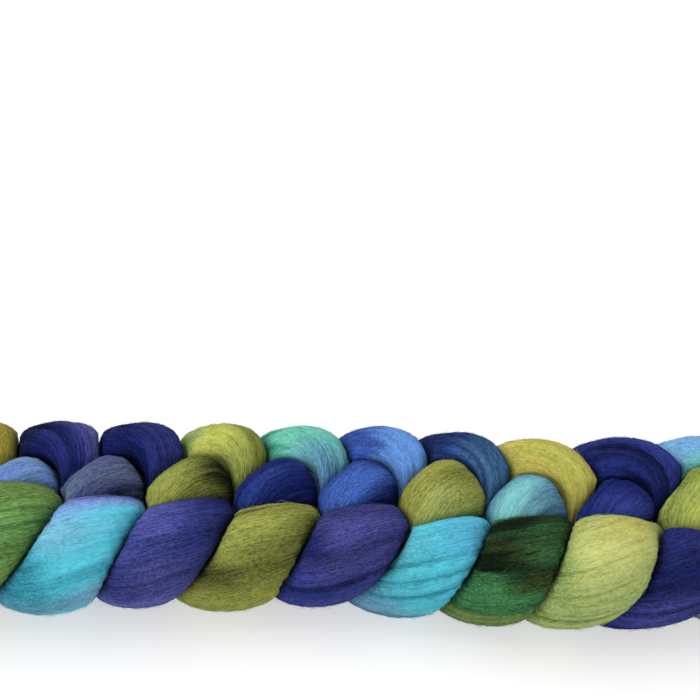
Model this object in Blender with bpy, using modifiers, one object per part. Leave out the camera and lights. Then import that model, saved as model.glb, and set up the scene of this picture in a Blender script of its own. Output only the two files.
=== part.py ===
"""A braid of combed wool top: one thick, soft strand worked into a chain and laid on a table.

Units are metres and +Z is up. The chain runs along X: it starts at the +X end, each new loop
lies further towards -X, and its row of open V shapes faces up. The origin is at the middle of
the underside. The strand is drawn as one tube that swells and thins along its route, then
fused where its turns press on each other, and cut flat where it rests on the table.
"""

import math

import bmesh
import bpy
import numpy as np

# ---------------------------------------------------------------- driving dimensions
PITCH = 0.042          # length of chain that one stitch adds
REST_DEPTH = 0.60      # height of the chain's middle line over the table, in pitches
STEP = 0.006           # spacing of the tube's rings along the strand
RELAX_PASSES = 20      # how far the strand's bends even out between the rows of the tables
SPAN_STEPS = 10        # points worked out between two rows of a table
PRESSED = 0.97         # share of its loose radius that the strand keeps between its neighbours
OWN_STRETCH = 1.15     # rings this many summed radii apart or nearer belong to one turn
CREASE_DEPTH = 0.0040  # how far the wool draws in along the line where two turns press
CREASE_WIDTH = 0.14    # half width of that crease, as a share of the strand's radius
WELD = 0.00001         # points this near each other become one
SHARP_ANGLE = math.radians(50)   # faces that meet at more than this are shaded apart
TABLE_SIZE = 1.0       # edge of the block that cuts the underside flat
CHUNK = 2000           # points of the skin worked out at a time
TUBE_BEVEL = 6         # roundness of the tube, which has 2 * TUBE_BEVEL + 4 sides
VOXEL = 0.0024         # grain at which the strand's turns are fused
SMOOTHING = 2          # smoothing passes over the fused skin
TRIANGLES = 10400      # faces left before the underside is cut flat

WOOL_COLOUR = (0.10, 0.16, 0.42, 1.0)
WOOL_ROUGHNESS = 0.85

# One stitch of the chain, in pitches: its open loop, from the far side over the head to the
# near side, and the short run on the underside that leads into the next stitch.
# Columns: place, forward along the chain, across to the far side, up, radius of the strand.
STITCH = (
    ("far_base", 0.00, 0.18, 0.00, 0.28),
    ("far_rise", -0.06, 0.42, 0.18, 0.42),
    ("far_crown", 0.16, 0.66, 0.08, 0.59),
    ("far_side", 0.66, 0.70, -0.09, 0.58),
    ("far_tuck", 1.10, 0.54, -0.04, 0.49),
    ("head_far", 1.40, 0.27, 0.12, 0.50),
    ("head_top", 1.63, -0.04, 0.17, 0.51),
    ("head_near", 1.70, -0.34, 0.00, 0.46),
    ("near_tuck", 1.42, -0.56, -0.18, 0.50),
    ("near_side", 0.95, -0.65, -0.08, 0.59),
    ("near_crown", 0.45, -0.58, 0.13, 0.58),
    ("near_rise", 0.12, -0.40, 0.08, 0.44),
    ("near_base", 0.00, -0.18, -0.08, 0.28),
    ("under_near", 0.15, -0.12, -0.26, 0.36),
    ("under_middle", 0.50, 0.00, -0.32, 0.40),
    ("under_far", 0.85, 0.12, -0.24, 0.36),
)

# The loose end that the chain starts from, tapering out on the table. Same columns, with
# forward counted from the first stitch's base.
START = (
    ("start_tip", -2.10, 0.26, -0.52, 0.10),
    ("start_taper", -1.80, 0.22, -0.46, 0.22),
    ("start_end", -1.40, 0.10, -0.36, 0.33),
    ("start_lay", -0.95, -0.02, -0.28, 0.40),
    ("start_under", -0.50, -0.02, -0.28, 0.40),
    ("start_bend", -0.15, 0.10, -0.20, 0.35),
)

# The loose end that closes the chain: up through the last loop, over its head and down to the
# table. Same columns, with forward counted from the last stitch.
FINISH = (
    ("finish_base", 1.00, 0.08, 0.00, 0.32),
    ("finish_rise", 1.22, 0.24, 0.34, 0.42),
    ("finish_over", 1.66, 0.36, 0.50, 0.46),
    ("finish_drop", 2.16, 0.34, 0.22, 0.46),
    ("finish_lay", 2.62, 0.22, -0.18, 0.42),
    ("finish_end", 3.06, 0.08, -0.34, 0.34),
    ("finish_taper", 3.46, 0.00, -0.46, 0.22),
    ("finish_tip", 3.76, -0.02, -0.52, 0.10),
)

# How the stitches differ, from the starting end: chain that each one takes and its sideways
# sway, in pitches, the fullness of its far leg, head and near leg, and how far its near leg is
# pushed along the chain and up, in pitches.
# Columns: advance, sway, far, head, near, pushed, lifted.
UNEVENNESS = (
    (1.00, 0.04, 1.00, 1.00, 1.00, 0.10, 0.00),
    (0.98, 0.04, 0.99, 1.08, 0.94, 0.14, 0.02),
    (1.02, 0.05, 1.02, 0.92, 0.85, 0.42, 0.03),
    (1.02, -0.01, 1.05, 0.93, 0.94, 0.35, 0.14),
    (1.02, -0.10, 0.99, 1.09, 0.99, 0.08, 0.05),
    (0.95, 0.00, 0.99, 0.98, 0.92, 0.01, 0.01),
    (0.95, 0.07, 1.01, 1.00, 0.86, 0.07, 0.14),
    (1.02, 0.04, 0.98, 1.05, 0.94, 0.07, 0.08),
    (1.01, 0.04, 1.00, 1.06, 0.95, 0.03, 0.12),
    (1.00, 0.00, 1.06, 0.99, 1.04, 0.05, 0.11),
    (1.00, -0.03, 1.06, 0.96, 1.07, 0.02, 0.24),
    (0.98, -0.02, 0.99, 0.97, 1.02, 0.00, 0.12),
)
FULLNESS_COLUMN = {"far": 2, "head": 3, "near": 4}
NEAR_LEG = ("near_tuck", "near_side", "near_crown", "near_rise")


def strand_rows():
    """List every row of the strand's route: stitch counted along the chain, across, up, radius."""
    rows = [row[1:] for row in START]
    for number, stitch in enumerate(UNEVENNESS):
        for place, forward, across, up, radius in STITCH:
            column = FULLNESS_COLUMN.get(place.split("_")[0])
            fullness = stitch[column] if column else 1.0
            pushed, lifted = stitch[5:] if place in NEAR_LEG else (0.0, 0.0)
            rows.append((number + forward + pushed, across, up + lifted, radius * fullness))
    last = len(UNEVENNESS) - 1
    rows += [(last + forward, across, up, radius) for _, forward, across, up, radius in FINISH]
    return np.array(rows)


def spline(rows):
    """Run a smooth curve through the rows, Catmull-Rom between each pair of them."""
    guard = np.vstack([2 * rows[0] - rows[1], rows, 2 * rows[-1] - rows[-2]])
    part = np.linspace(0.0, 1.0, SPAN_STEPS, endpoint=False)[None, :, None]
    before, here, after, beyond = [guard[k:k + len(rows) - 1, None, :] for k in range(4)]
    curve = 0.5 * (2 * here + (after - before) * part
                   + (2 * before - 5 * here + 4 * after - beyond) * part ** 2
                   + (3 * here - before - 3 * after + beyond) * part ** 3)
    return np.vstack([curve.reshape(-1, rows.shape[1]), rows[-1:]])


def relaxed(curve):
    """Even out a curve's bends: each pass moves a point half way to the middle of its neighbours."""
    for _ in range(RELAX_PASSES):
        curve[1:-1] = (curve[:-2] + 2 * curve[1:-1] + curve[2:]) / 4
    return curve


def centred(places, radius):
    """Shift places along one axis so that the rings' span has its middle at zero."""
    return places - ((places + radius).max() + (places - radius).min()) / 2


def strand_route():
    """Return the strand's rings, STEP apart, as rows of x, y, z and radius in metres."""
    curve = relaxed(spline(strand_rows()))
    stitches = np.arange(len(UNEVENNESS) + 1)
    reach = np.concatenate([[0.0], np.cumsum([row[0] for row in UNEVENNESS])])
    sway = [row[1] for row in UNEVENNESS]
    count = curve[:, 0]
    inside = np.interp(count, stitches, reach)
    forward = inside + np.minimum(count, 0.0) + np.maximum(count - stitches[-1], 0.0)
    across = curve[:, 1] + np.interp(count, stitches[:-1], sway)
    radius = curve[:, 3] * PITCH * PRESSED
    x = centred(-forward * PITCH, radius)
    y = centred(across * PITCH, radius)
    z = (curve[:, 2] + REST_DEPTH) * PITCH
    places = np.stack([x, y, z, radius], axis=1)
    gaps = np.linalg.norm(np.diff(places[:, :3], axis=0), axis=1)
    run = np.concatenate([[0.0], np.cumsum(gaps)])
    marks = np.linspace(0.0, run[-1], round(run[-1] / STEP) + 1)
    return np.stack([np.interp(marks, run, places[:, axis]) for axis in range(4)], axis=1)


def wool_material():
    """Make the dyed wool's material."""
    material = bpy.data.materials.new("dyed_wool")
    material.use_nodes = True
    shader = material.node_tree.nodes["Principled BSDF"]
    shader.inputs["Base Color"].default_value = WOOL_COLOUR
    shader.inputs["Roughness"].default_value = WOOL_ROUGHNESS
    shader.inputs["Metallic"].default_value = 0.0
    material.diffuse_color = WOOL_COLOUR
    return material


def strand_curve(collection):
    """Draw the strand as a round curve whose thickness follows the route."""
    route = strand_route()
    curve = bpy.data.curves.new("strand", "CURVE")
    curve.dimensions = "3D"
    curve.bevel_depth = 1.0
    curve.bevel_resolution = TUBE_BEVEL
    curve.use_fill_caps = True
    line = curve.splines.new("POLY")
    line.points.add(len(route) - 1)
    weights = np.ones((len(route), 1))
    line.points.foreach_set("co", np.hstack([route[:, :3], weights]).ravel())
    line.points.foreach_set("radius", route[:, 3])
    strand = bpy.data.objects.new("strand", curve)
    collection.objects.link(strand)
    return strand


def evaluated_mesh(thing):
    """Return a new mesh of an object as its modifiers leave it."""
    depsgraph = bpy.context.evaluated_depsgraph_get()
    depsgraph.update()
    return bpy.data.meshes.new_from_object(thing.evaluated_get(depsgraph), depsgraph=depsgraph)


def keep_outer_shell(mesh):
    """Delete the small hollows that fusing leaves between turns: all but the largest shell."""
    body = bmesh.new()
    body.from_mesh(mesh)
    waiting = set(body.verts)
    shells = []
    while waiting:
        front = [waiting.pop()]
        shell = list(front)
        while front:
            vertex = front.pop()
            for edge in vertex.link_edges:
                other = edge.other_vert(vertex)
                if other in waiting:
                    waiting.remove(other)
                    front.append(other)
                    shell.append(other)
        shells.append(shell)
    shells.sort(key=len)
    hollow = [vertex for shell in shells[:-1] for vertex in shell]
    bmesh.ops.delete(body, geom=hollow, context="VERTS")
    body.to_mesh(mesh)
    body.free()


def towards(points, centres):
    """Return the unit vectors from points to centres."""
    way = centres - points
    return way / np.linalg.norm(way, axis=1)[:, None]


def draw_in_creases(mesh):
    """Draw the skin in where two turns of the strand press on each other.

    A point's share of a ring is its distance over the ring's radius. The crease lies where the
    nearest ring and the nearest one of another turn have equal shares, and fades away from it.
    On the crease a point moves in between the two turns, and beside it towards its own.
    """
    route = strand_route()
    centres, radii = route[:, :3], route[:, 3]
    arc = np.arange(len(route)) * STEP
    flat = np.empty(3 * len(mesh.vertices))
    mesh.vertices.foreach_get("co", flat)
    points = flat.reshape(-1, 3)
    for start in range(0, len(points), CHUNK):
        part = points[start:start + CHUNK]
        share = np.linalg.norm(part[:, None] - centres[None], axis=2) / radii
        nearest = share.argmin(axis=1)
        own = np.abs(arc[nearest, None] - arc) < OWN_STRETCH * (radii[nearest, None] + radii)
        others = np.where(own, np.inf, share)
        other = others.argmin(axis=1)
        lead = others.min(axis=1) - share.min(axis=1)
        crease = np.exp(-(lead / CREASE_WIDTH) ** 2)[:, None]
        inward = towards(part, centres[nearest]) + crease * towards(part, centres[other])
        part += inward * crease * CREASE_DEPTH
    mesh.vertices.foreach_set("co", points.ravel())


def fuse_strand(strand, collection):
    """Fuse the strand's turns into one closed skin and thin out its faces."""
    mesh = evaluated_mesh(strand)
    body = bmesh.new()
    body.from_mesh(mesh)
    bmesh.ops.remove_doubles(body, verts=body.verts, dist=WELD)
    body.to_mesh(mesh)
    body.free()
    braid = bpy.data.objects.new("braid", mesh)
    braid.matrix_world = strand.matrix_world
    collection.objects.link(braid)
    bpy.data.objects.remove(strand)

    fusing = braid.modifiers.new("fuse", "REMESH")
    fusing.mode = "VOXEL"
    fusing.voxel_size = VOXEL
    skin = evaluated_mesh(braid)
    keep_outer_shell(skin)
    draw_in_creases(skin)
    braid.modifiers.clear()
    braid.data = skin

    softening = braid.modifiers.new("soften", "SMOOTH")
    softening.iterations = SMOOTHING
    triangles = sum(len(face.vertices) - 2 for face in skin.polygons)
    thinning = braid.modifiers.new("thin", "DECIMATE")
    thinning.ratio = TRIANGLES / triangles
    return braid


def flatten_underside(braid, cutters):
    """Cut the braid flat where it rests, so that it stands on the table at z = 0."""
    bpy.ops.mesh.primitive_cube_add(size=TABLE_SIZE, location=(0.0, 0.0, -TABLE_SIZE / 2))
    table = bpy.context.object
    table.name = "table_cut"
    table.hide_render = True
    table.display_type = "WIRE"
    for owner in list(table.users_collection):
        owner.objects.unlink(table)
    cutters.objects.link(table)
    cut = braid.modifiers.new("rest", "BOOLEAN")
    cut.operation = "DIFFERENCE"
    cut.object = table


def main():
    """Build the braid."""
    for thing in list(bpy.data.objects):
        bpy.data.objects.remove(thing, do_unlink=True)
    collection = bpy.data.collections.new("wool_roving_braid")
    cutters = bpy.data.collections.new("cutters")
    for group in (collection, cutters):
        bpy.context.scene.collection.children.link(group)
    braid = fuse_strand(strand_curve(collection), collection)
    flatten_underside(braid, cutters)
    braid.data.materials.clear()
    braid.data.materials.append(wool_material())
    braid.data.shade_smooth()
    braid.data.set_sharp_from_angle(angle=SHARP_ANGLE)


main()
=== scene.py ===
"""Looks of a chained braid of hand-dyed combed wool.

One thick strand of loose, parallel fibres is worked into a chain and laid on a table. The
script models the strand as a closed skin carried along its route: each turn is pressed flat
against its neighbours, its locks part in long grooves that run with the fibres, and short
stray fibres stand on it. Units are metres, +Z is up, and the chain grows towards -X.
"""

from __future__ import annotations

import logging
import math
from dataclasses import dataclass, field
from enum import Enum

import bpy
import numpy as np
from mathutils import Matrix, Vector


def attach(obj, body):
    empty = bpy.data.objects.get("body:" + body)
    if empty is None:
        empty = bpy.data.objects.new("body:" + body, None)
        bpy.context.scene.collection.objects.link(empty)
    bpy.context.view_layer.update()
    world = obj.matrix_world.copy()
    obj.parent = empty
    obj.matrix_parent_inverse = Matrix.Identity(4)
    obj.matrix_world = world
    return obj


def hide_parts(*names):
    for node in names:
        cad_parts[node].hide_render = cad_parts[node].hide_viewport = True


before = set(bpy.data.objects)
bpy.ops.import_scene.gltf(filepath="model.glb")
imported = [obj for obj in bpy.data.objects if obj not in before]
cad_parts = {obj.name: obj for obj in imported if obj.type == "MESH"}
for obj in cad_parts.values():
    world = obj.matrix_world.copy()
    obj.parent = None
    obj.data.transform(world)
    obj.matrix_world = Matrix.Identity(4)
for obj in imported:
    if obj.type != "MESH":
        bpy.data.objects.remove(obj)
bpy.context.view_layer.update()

LOG = logging.getLogger("braid")
MILLIMETRE = 0.001
NO_LENGTH = 1e-12      # keeps a direction's length off zero where it is divided by
WHITE = (1.0, 1.0, 1.0, 1.0)

# ------------------------------------------------------------------ the strand's route
PITCH = 0.042          # length of chain that one stitch adds
REST_DEPTH = 0.60      # height of the chain's middle line over the table, in pitches
RELAX_PASSES = 20      # how far the strand's bends even out between the rows of the tables
SPAN_STEPS = 10        # points worked out between two rows of a table

# One stitch of the chain, in pitches: its open loop, from the far side over the head to the
# near side, and the short run on the underside that leads into the next stitch.
# Columns: place, forward along the chain, across to the far side, up, radius of the strand.
STITCH = (
    ("far_base", 0.00, 0.18, 0.00, 0.28),
    ("far_rise", -0.06, 0.42, 0.18, 0.42),
    ("far_crown", 0.16, 0.66, 0.08, 0.59),
    ("far_side", 0.66, 0.70, -0.09, 0.58),
    ("far_tuck", 1.10, 0.54, -0.04, 0.49),
    ("head_far", 1.40, 0.27, 0.12, 0.50),
    ("head_top", 1.63, -0.04, 0.17, 0.51),
    ("head_near", 1.70, -0.34, 0.00, 0.46),
    ("near_tuck", 1.42, -0.56, -0.18, 0.50),
    ("near_side", 0.95, -0.65, -0.08, 0.59),
    ("near_crown", 0.45, -0.58, 0.13, 0.58),
    ("near_rise", 0.12, -0.40, 0.08, 0.44),
    ("near_base", 0.00, -0.18, -0.08, 0.28),
    ("under_near", 0.15, -0.12, -0.26, 0.36),
    ("under_middle", 0.50, 0.00, -0.32, 0.40),
    ("under_far", 0.85, 0.12, -0.24, 0.36),
)

# The loose end that the chain starts from, tapering out on the table. Same columns, with
# forward counted from the first stitch's base.
START = (
    ("start_tip", -2.10, 0.26, -0.52, 0.10),
    ("start_taper", -1.80, 0.22, -0.46, 0.22),
    ("start_end", -1.40, 0.10, -0.36, 0.33),
    ("start_lay", -0.95, -0.02, -0.28, 0.40),
    ("start_under", -0.50, -0.02, -0.28, 0.40),
    ("start_bend", -0.15, 0.10, -0.20, 0.35),
)

# The loose end that closes the chain: up through the last loop, over its head and down to the
# table. Same columns, with forward counted from the last stitch.
FINISH = (
    ("finish_base", 1.00, 0.08, 0.00, 0.32),
    ("finish_rise", 1.22, 0.24, 0.34, 0.42),
    ("finish_over", 1.66, 0.36, 0.50, 0.46),
    ("finish_drop", 2.16, 0.34, 0.22, 0.46),
    ("finish_lay", 2.62, 0.22, -0.18, 0.42),
    ("finish_end", 3.06, 0.08, -0.34, 0.34),
    ("finish_taper", 3.46, 0.00, -0.46, 0.22),
    ("finish_tip", 3.76, -0.02, -0.52, 0.10),
)

# How the stitches differ, from the starting end: chain that each one takes and its sideways
# sway, in pitches, the fullness of its far leg, head and near leg, and how far its near leg is
# pushed along the chain and up, in pitches.
# Columns: advance, sway, far, head, near, pushed, lifted.
UNEVENNESS = (
    (1.00, 0.04, 1.00, 1.00, 1.00, 0.10, 0.00),
    (0.98, 0.04, 0.99, 1.08, 0.94, 0.14, 0.02),
    (1.02, 0.05, 1.02, 0.92, 0.85, 0.42, 0.03),
    (1.02, -0.01, 1.05, 0.93, 0.94, 0.35, 0.14),
    (1.02, -0.10, 0.99, 1.09, 0.99, 0.08, 0.05),
    (0.95, 0.00, 0.99, 0.98, 0.92, 0.01, 0.01),
    (0.95, 0.07, 1.01, 1.00, 0.86, 0.07, 0.14),
    (1.02, 0.04, 0.98, 1.05, 0.94, 0.07, 0.08),
    (1.01, 0.04, 1.00, 1.06, 0.95, 0.03, 0.12),
    (1.00, 0.00, 1.06, 0.99, 1.04, 0.05, 0.11),
    (1.00, -0.03, 1.06, 0.96, 1.07, 0.02, 0.24),
    (0.98, -0.02, 0.99, 0.97, 1.02, 0.00, 0.12),
)
FULLNESS_COLUMN = {"far": 2, "head": 3, "near": 4}
NEAR_LEG = ("near_tuck", "near_side", "near_crown", "near_rise")
PLACES = [row[0] for row in STITCH]


# ------------------------------------------------------------------------------ the dyes
FULL_LEVEL = 255.0     # a display colour's highest level
# The curve from levels to light: straight up to its knee, then a power of the shifted level.
CURVE_KNEE, CURVE_SLOPE, CURVE_SHIFT, CURVE_POWER = 0.04045, 12.92, 0.055, 2.4


class Dye(Enum):
    """The dyes of the wool, as 8-bit display colours."""

    MIDNIGHT = (8, 18, 56)
    INK = (14, 28, 92)
    NAVY = (28, 42, 112)
    INDIGO = (52, 60, 136)
    ROYAL = (48, 76, 156)
    BLUE = (72, 110, 194)
    CORNFLOWER = (100, 148, 218)
    COBALT = (106, 138, 202)
    SKY = (118, 172, 216)
    PERIWINKLE = (116, 120, 198)
    VIOLET = (76, 80, 150)
    PURPLE = (62, 64, 128)
    SLATE = (84, 94, 136)
    MIST = (124, 160, 188)
    STEEL = (86, 136, 168)
    SAGE = (104, 134, 136)
    CYAN = (90, 202, 224)
    TEAL = (52, 150, 172)
    AQUA = (126, 192, 194)
    MINT = (110, 194, 172)
    TURQUOISE = (70, 156, 128)
    LEAF = (112, 152, 80)
    GRASS = (90, 154, 88)
    EMERALD = (58, 114, 68)
    FOREST = (44, 76, 42)
    BOTTLE = (10, 24, 8)
    MOSS = (58, 66, 24)
    OLIVE = (118, 124, 54)
    FERN = (146, 158, 76)
    LIME = (160, 178, 106)
    STRAW = (188, 190, 114)
    CITRON = (184, 189, 90)
    GOLD = (184, 175, 84)
    BRASS = (142, 132, 52)
    DENIM = (22, 56, 114)
    PEAR = (152, 156, 74)

    def linear(self) -> np.ndarray:
        """Return the dye as a scene-linear colour."""
        level = np.array(self.value) / FULL_LEVEL
        curved = ((level + CURVE_SHIFT) / (1.0 + CURVE_SHIFT)) ** CURVE_POWER
        return np.where(level <= CURVE_KNEE, level / CURVE_SLOPE, curved)


# Where each dye begins along the strand, in the order in which the strand runs.
# Columns: stitch, place, rows past that place, dye.
DYED = (
    (0, "far_base", 0.0, Dye.MINT),
    (0, "head_far", 0.0, Dye.CORNFLOWER),
    (0, "near_tuck", 0.0, Dye.LEAF),
    (0, "under_near", 0.0, Dye.OLIVE),
    (1, "far_base", 0.0, Dye.ROYAL),
    (1, "head_far", -0.5, Dye.FERN),
    (1, "near_tuck", 0.0, Dye.VIOLET),
    (1, "under_near", 0.0, Dye.NAVY),
    (2, "far_base", 0.0, Dye.MINT),
    (2, "far_rise", 0.7, Dye.SKY),
    (2, "head_far", -0.8, Dye.NAVY),
    (2, "near_base", 0.0, Dye.INK),
    (3, "far_base", 0.0, Dye.NAVY),
    (3, "head_far", -0.9, Dye.STEEL),
    (3, "near_tuck", -0.4, Dye.LEAF),
    (3, "near_tuck", 0.5, Dye.LIME),
    (3, "near_base", 0.0, Dye.OLIVE),
    (4, "far_base", 0.0, Dye.GOLD),
    (4, "head_far", -0.9, Dye.PEAR),
    (4, "near_tuck", -0.2, Dye.EMERALD),
    (4, "near_crown", 0.1, Dye.FOREST),
    (4, "near_base", 0.0, Dye.ROYAL),
    (5, "far_base", 0.0, Dye.DENIM),
    (5, "far_crown", 0.8, Dye.NAVY),
    (5, "head_far", 0.0, Dye.ROYAL),
    (5, "near_tuck", -0.2, Dye.STEEL),
    (5, "near_tuck", 0.9, Dye.CYAN),
    (5, "near_base", 0.2, Dye.CORNFLOWER),
    (6, "far_base", 0.0, Dye.CORNFLOWER),
    (6, "far_rise", 0.6, Dye.ROYAL),
    (6, "head_far", -0.5, Dye.NAVY),
    (6, "near_tuck", -0.3, Dye.INDIGO),
    (6, "near_side", 0.0, Dye.PURPLE),
    (6, "near_base", 0.2, Dye.TEAL),
    (7, "far_base", 0.0, Dye.STEEL),
    (7, "far_rise", 0.1, Dye.MINT),
    (7, "far_crown", 0.8, Dye.TURQUOISE),
    (7, "head_far", -0.7, Dye.PEAR),
    (7, "under_near", 0.0, Dye.LIME),
    (8, "far_base", 0.0, Dye.FERN),
    (8, "far_rise", 0.3, Dye.CITRON),
    (8, "far_crown", 0.5, Dye.LIME),
    (8, "head_far", -0.8, Dye.SLATE),
    (8, "near_tuck", -0.4, Dye.VIOLET),
    (8, "near_base", -0.2, Dye.NAVY),
    (9, "far_base", 0.0, Dye.INK),
    (9, "head_far", -0.8, Dye.COBALT),
    (9, "near_tuck", -0.2, Dye.TEAL),
    (9, "near_side", 0.0, Dye.CYAN),
    (9, "under_near", 0.0, Dye.INK),
    (10, "far_base", 0.0, Dye.NAVY),
    (10, "far_rise", 0.6, Dye.INK),
    (10, "far_crown", 0.3, Dye.MIDNIGHT),
    (10, "head_far", -0.8, Dye.TEAL),
    (10, "near_tuck", -0.3, Dye.GRASS),
    (10, "near_side", 0.0, Dye.LEAF),
    (10, "near_base", 0.0, Dye.OLIVE),
    (11, "far_base", 0.0, Dye.BRASS),
    (11, "head_far", -0.4, Dye.PURPLE),
    (11, "near_tuck", 0.0, Dye.TURQUOISE),
    (11, "under_near", 0.0, Dye.ROYAL),
)

# How far the fibres lean off the strand's heading on each part of a turn, in degrees.
LEAN = {"start": 10, "far": 5, "head": 26, "near": 7, "under": 12, "finish": 10}


@dataclass(frozen=True)
class Grid:
    """A surface on rings along the strand by sides around it."""

    points: np.ndarray
    normals: np.ndarray


def smooth_step(value: np.ndarray) -> np.ndarray:
    """Ease a value between 0 and 1: three times its square less twice its cube, clipped."""
    share = np.clip(value, 0.0, 1.0)
    return share * share * (3.0 - 2.0 * share)


def lattice_noise(
    rng: np.random.Generator, along: np.ndarray, around: np.ndarray, cells: int
) -> np.ndarray:
    """Return smooth noise between -1 and 1 that closes on itself around the strand.

    Random values sit on a lattice of whole numbers, and a point takes the eased mix of the
    four values round it.

    Args:
        rng: source of the random values.
        along: place along the strand, in lattice cells.
        around: place around the strand, in turns.
        cells: number of lattice cells round the strand.

    Returns:
        The noise, in the shape that along and around broadcast to.
    """
    along, around = np.broadcast_arrays(along, around)
    first = np.floor(along).astype(int)
    low = first.min()
    values = rng.uniform(-1.0, 1.0, (first.max() - low + 2, cells))
    turn = (around % 1.0) * cells
    column = np.floor(turn).astype(int) % cells
    beside = (column + 1) % cells
    row = first - low
    mix_along = smooth_step(along - first)
    mix_around = smooth_step(turn - np.floor(turn))
    here = values[row, column] * (1.0 - mix_around) + values[row, beside] * mix_around
    ahead = values[row + 1, column] * (1.0 - mix_around) + values[row + 1, beside] * mix_around
    return here * (1.0 - mix_along) + ahead * mix_along


@dataclass
class Strand:
    """The strand of combed wool from its starting tip to its finishing tip."""

    ring_gap: float = 0.0025      # spacing of the rings along the strand
    sides: int = 180              # points round a ring
    own_stretch: float = 1.15     # rings this many summed radii apart or nearer are one turn
    press_gap: float = 0.975      # share of the way to the next turn that the wool fills
    press_soft: float = 0.085     # how softly a turn's round goes over into its pressed side
    press_steps: int = 8          # halvings in the search for the pressed side
    press_window: float = 0.66    # length of strand searched each way for neighbours
    press_stride: int = 2         # every how many of its rings are looked at
    press_chunk: int = 24         # rings worked out at a time
    press_past: float = 3.0       # share beyond which a neighbour makes no difference
    least_fill: float = 0.05      # smallest share of its radius that the wool keeps
    wind_radius: float = 0.010    # radius below which the fibres wind no faster
    table_soft: float = 0.0016    # how softly the underside settles on the table
    laid_radius: float = 0.022    # radius of the straightened strand that patterns are laid on
    route: np.ndarray = field(init=False)
    radius: np.ndarray = field(init=False)
    row: np.ndarray = field(init=False)
    arc: np.ndarray = field(init=False)
    ahead: np.ndarray = field(init=False)
    side_a: np.ndarray = field(init=False)
    side_b: np.ndarray = field(init=False)
    outward: np.ndarray = field(init=False)
    fill: np.ndarray = field(init=False)
    twist: np.ndarray = field(init=False)

    def __post_init__(self) -> None:
        """Work out the route, its frames and how far each ring reaches before it is pressed."""
        self.lay_route()
        self.carry_frames()
        self.wind()
        self.press()

    def rows(self) -> np.ndarray:
        """List the rows of the route: stitch counted along the chain, across, up, radius."""
        rows = [row[1:] for row in START]
        for number, stitch in enumerate(UNEVENNESS):
            for place, forward, across, up, radius in STITCH:
                column = FULLNESS_COLUMN.get(place.split("_")[0])
                fullness = stitch[column] if column else 1.0
                pushed, lifted = stitch[5:] if place in NEAR_LEG else (0.0, 0.0)
                rows.append((number + forward + pushed, across, up + lifted, radius * fullness))
        last = len(UNEVENNESS) - 1
        rows += [(last + forward, across, up, radius) for _, forward, across, up, radius in FINISH]
        return np.array(rows)

    @staticmethod
    def row_number(stitch: int, place: str, past: float = 0.0) -> float:
        """Return the number of a stitch's place among all the rows of the route."""
        return len(START) + stitch * len(STITCH) + PLACES.index(place) + past

    @staticmethod
    def centred(places: np.ndarray, radius: np.ndarray) -> np.ndarray:
        """Shift places along one axis so that the rings' span has its middle at zero."""
        return places - ((places + radius).max() + (places - radius).min()) / 2

    def lay_route(self) -> None:
        """Run the strand's middle line through the rows, at even spacing.

        The line is a Catmull-Rom spline through the rows, evened out by passes that move each
        point half way to the middle of its two neighbours.
        """
        rows = self.rows()
        rows = np.column_stack([rows, np.arange(len(rows))])
        guard = np.vstack([2 * rows[0] - rows[1], rows, 2 * rows[-1] - rows[-2]])
        part = np.linspace(0.0, 1.0, SPAN_STEPS, endpoint=False)[None, :, None]
        before, here, after, beyond = [guard[k:k + len(rows) - 1, None, :] for k in range(4)]
        curve = 0.5 * (
            2 * here
            + (after - before) * part
            + (2 * before - 5 * here + 4 * after - beyond) * part**2
            + (3 * here - before - 3 * after + beyond) * part**3
        )
        curve = np.vstack([curve.reshape(-1, rows.shape[1]), rows[-1:]])
        for _ in range(RELAX_PASSES):
            curve[1:-1] = (curve[:-2] + 2 * curve[1:-1] + curve[2:]) / 4

        stitches = np.arange(len(UNEVENNESS) + 1)
        reach = np.concatenate([[0.0], np.cumsum([row[0] for row in UNEVENNESS])])
        sway = [row[1] for row in UNEVENNESS]
        count = curve[:, 0]
        forward = np.interp(count, stitches, reach)
        forward += np.minimum(count, 0.0) + np.maximum(count - stitches[-1], 0.0)
        across = curve[:, 1] + np.interp(count, stitches[:-1], sway)
        radius = curve[:, 3] * PITCH
        places = np.stack(
            [
                self.centred(-forward * PITCH, radius),
                self.centred(across * PITCH, radius),
                (curve[:, 2] + REST_DEPTH) * PITCH,
                radius,
                curve[:, 4],
            ],
            axis=1,
        )
        gaps = np.linalg.norm(np.diff(places[:, :3], axis=0), axis=1)
        run = np.concatenate([[0.0], np.cumsum(gaps)])
        self.arc = np.linspace(0.0, run[-1], round(run[-1] / self.ring_gap) + 1)
        even = np.stack([np.interp(self.arc, run, places[:, axis]) for axis in range(5)], axis=1)
        self.route, self.radius, self.row = even[:, :3], even[:, 3], even[:, 4]

    def carry_frames(self) -> None:
        """Carry a pair of side directions along the route without twisting them.

        Each ring's first side is the last ring's, with its share along the new heading taken
        out. The outward angle of a ring is where the chain's middle line lies furthest behind.
        """
        self.ahead = np.gradient(self.route, axis=0)
        self.ahead /= np.linalg.norm(self.ahead, axis=1)[:, None]
        side = np.cross(self.ahead[0], (0.0, 1.0, 0.0))
        sides = []
        for heading in self.ahead:
            side = side - heading * (side @ heading)
            side = side / np.linalg.norm(side)
            sides.append(side)
        self.side_a = np.array(sides)
        self.side_b = np.cross(self.ahead, self.side_a)
        away = self.route * (0.0, 1.0, 1.0) - (0.0, 0.0, REST_DEPTH * PITCH)
        self.outward = np.arctan2((away * self.side_b).sum(1), (away * self.side_a).sum(1))

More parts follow.
